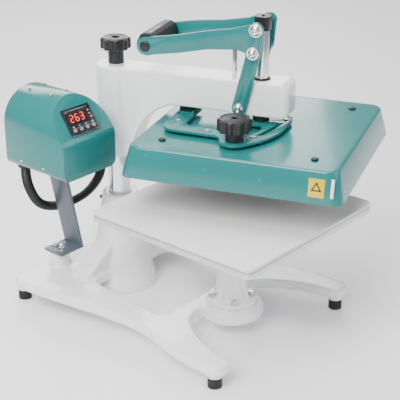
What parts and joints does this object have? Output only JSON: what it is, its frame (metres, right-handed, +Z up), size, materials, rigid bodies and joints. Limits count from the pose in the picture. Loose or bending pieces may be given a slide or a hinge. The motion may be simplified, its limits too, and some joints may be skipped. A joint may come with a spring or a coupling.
{
  "type": "heat press",
  "caption": "Swing-away flatbed heat press with a hinged toggle handle, heated upper platen, padded lower platen and a control box on a post.",
  "frame": {"origin": "on the floor, midway between the four feet", "axes": "+Z up, -Y towards the operator, +X to the operator's right; the arm swings open towards +X"},
  "size_m": [0.5784, 0.6766, 0.602],
  "materials": {
    "white_enamel": "smooth gloss enamel on cast iron",
    "teal_enamel": "gloss powder coat on sheet steel",
    "grey_enamel": "satin powder coat on steel strip",
    "chromed_steel": "hard chrome, ground",
    "zinc_steel": "zinc plated fasteners",
    "dark_steel": "blackened steel",
    "bronze": "sintered bronze",
    "black_plastic": "moulded phenolic",
    "black_rubber": "moulded rubber",
    "silicone": "silicone sponge sheet",
    "cast_aluminium": "machined casting",
    "fibre_board": "compressed mineral fibre",
    "display_black": "gloss acrylic",
    "display_red": "red digit module on its board",
    "key_grey": "moulded keys"
  },
  "bodies": {
    "root": {"base_casting": "white_enamel", "rubber_feet": "black_rubber", "swing_column": "chromed_steel", "column_clamp_screws": "dark_steel", "bed_pedestal": "white_enamel", "pedestal_bolts": "zinc_steel", "lower_platen": "cast_aluminium", "silicone_pad": "silicone", "bed_screws": "zinc_steel", "control_post": "grey_enamel", "post_bolts": "zinc_steel", "control_housing": "teal_enamel", "control_front_panel": "teal_enamel", "control_rear_panel": "teal_enamel", "housing_screws": "zinc_steel", "display_bezel": "display_black", "display_board": "display_red", "power_relay": "black_plastic", "mains_inlet": "black_plastic", "conduit_gland": "black_plastic", "heater_conduit": "black_plastic"},
    "key_set": {"key_set": "key_grey"},
    "key_up": {"key_up": "key_grey"},
    "key_down": {"key_down": "key_grey"},
    "key_timer": {"key_timer": "key_grey"},
    "power_switch": {"power_switch": "black_plastic"},
    "column_knob": {"column_knob": "black_plastic", "column_knob_stud": "zinc_steel"},
    "swing_arm": {"swing_arm": "white_enamel", "column_bushes": "bronze", "thrust_washer": "bronze", "arm_conduit_elbow": "black_plastic", "shaft_bushes": "bronze", "shaft_wiper": "black_rubber", "stop_rod": "zinc_steel", "stop_buffer": "black_rubber", "link_pivot_bolt": "zinc_steel"},
    "links": {"link_left": "teal_enamel", "link_right": "teal_enamel"},
    "handle": {"handle_plate_left": "teal_enamel", "handle_plate_right": "teal_enamel", "handle_grip": "black_plastic", "grip_screws": "black_plastic", "handle_spacer": "zinc_steel", "handle_bolts": "chromed_steel", "crank_bolts": "chromed_steel"},
    "press_head": {"press_shaft": "chromed_steel", "shaft_head": "black_plastic", "head_pin": "dark_steel", "shaft_collar": "dark_steel", "carrier_plate": "teal_enamel", "carrier_spacers": "zinc_steel", "guide_bracket": "teal_enamel", "guide_pad": "black_rubber", "heat_cover": "teal_enamel", "heated_platen": "cast_aluminium", "insulation_board": "fibre_board", "cover_screw_caps": "black_plastic", "clamp_stud": "zinc_steel"},
    "clamp_knob": {"clamp_knob": "black_plastic"}
  },
  "joints": [
    {"name": "arm_swing", "type": "hinge", "parent": "root", "child": "swing_arm", "pos_m": [0, 0.16, 0.4], "axis": [0, 0, 1], "range_deg": [-20.55, 69.45], "deforming": ["heater_conduit"]},
    {"name": "head_slide", "type": "slide", "parent": "swing_arm", "child": "press_head", "axis": [0, 0, -1], "range_m": [0, 0.07111]},
    {"name": "link_pivot", "type": "hinge", "parent": "swing_arm", "child": "links", "pos_m": [0.09372, -0.09001, 0.427], "axis": [0.9364, 0.351, 0], "range_deg": [-13.33, 0]},
    {"name": "handle_pivot", "type": "hinge", "parent": "links", "child": "handle", "pos_m": [0.10355, -0.11623, 0.53829], "axis": [0.9364, 0.351, 0], "range_deg": [0, 141.33]},
    {"name": "column_knob_turn", "type": "hinge", "parent": "root", "child": "column_knob", "pos_m": [0, 0.16, 0.5], "axis": [0, 0, 1], "continuous": true},
    {"name": "clamp_knob_turn", "type": "hinge", "parent": "press_head", "child": "clamp_knob", "pos_m": [-0.01935, -0.15589, 0.4], "axis": [0, 0, 1], "continuous": true},
    {"name": "switch_rock", "type": "hinge", "parent": "root", "child": "power_switch", "pos_m": [-0.1093, 0.2617, 0.3377], "axis": [1, 0, 0], "range_deg": [0, 14]},
    {"name": "key_set_press", "type": "slide", "parent": "root", "child": "key_set", "axis": [0, 0.8018, -0.5976], "range_m": [0, 0.0008], "stiffness_N_per_m": 400, "springref_m": -0.0005},
    {"name": "key_up_press", "type": "slide", "parent": "root", "child": "key_up", "axis": [0, 0.8018, -0.5976], "range_m": [0, 0.0008], "stiffness_N_per_m": 400, "springref_m": -0.0005},
    {"name": "key_down_press", "type": "slide", "parent": "root", "child": "key_down", "axis": [0, 0.8018, -0.5976], "range_m": [0, 0.0008], "stiffness_N_per_m": 400, "springref_m": -0.0005},
    {"name": "key_timer_press", "type": "slide", "parent": "root", "child": "key_timer", "axis": [0, 0.8018, -0.5976], "range_m": [0, 0.0008], "stiffness_N_per_m": 400, "springref_m": -0.0005}
  ],
  "couplings": [
    {"joint": "link_pivot", "follows": "head_slide", "rad_per_m": -3.2664},
    {"joint": "handle_pivot", "follows": "head_slide", "rad_per_m": 34.682}
  ]
}
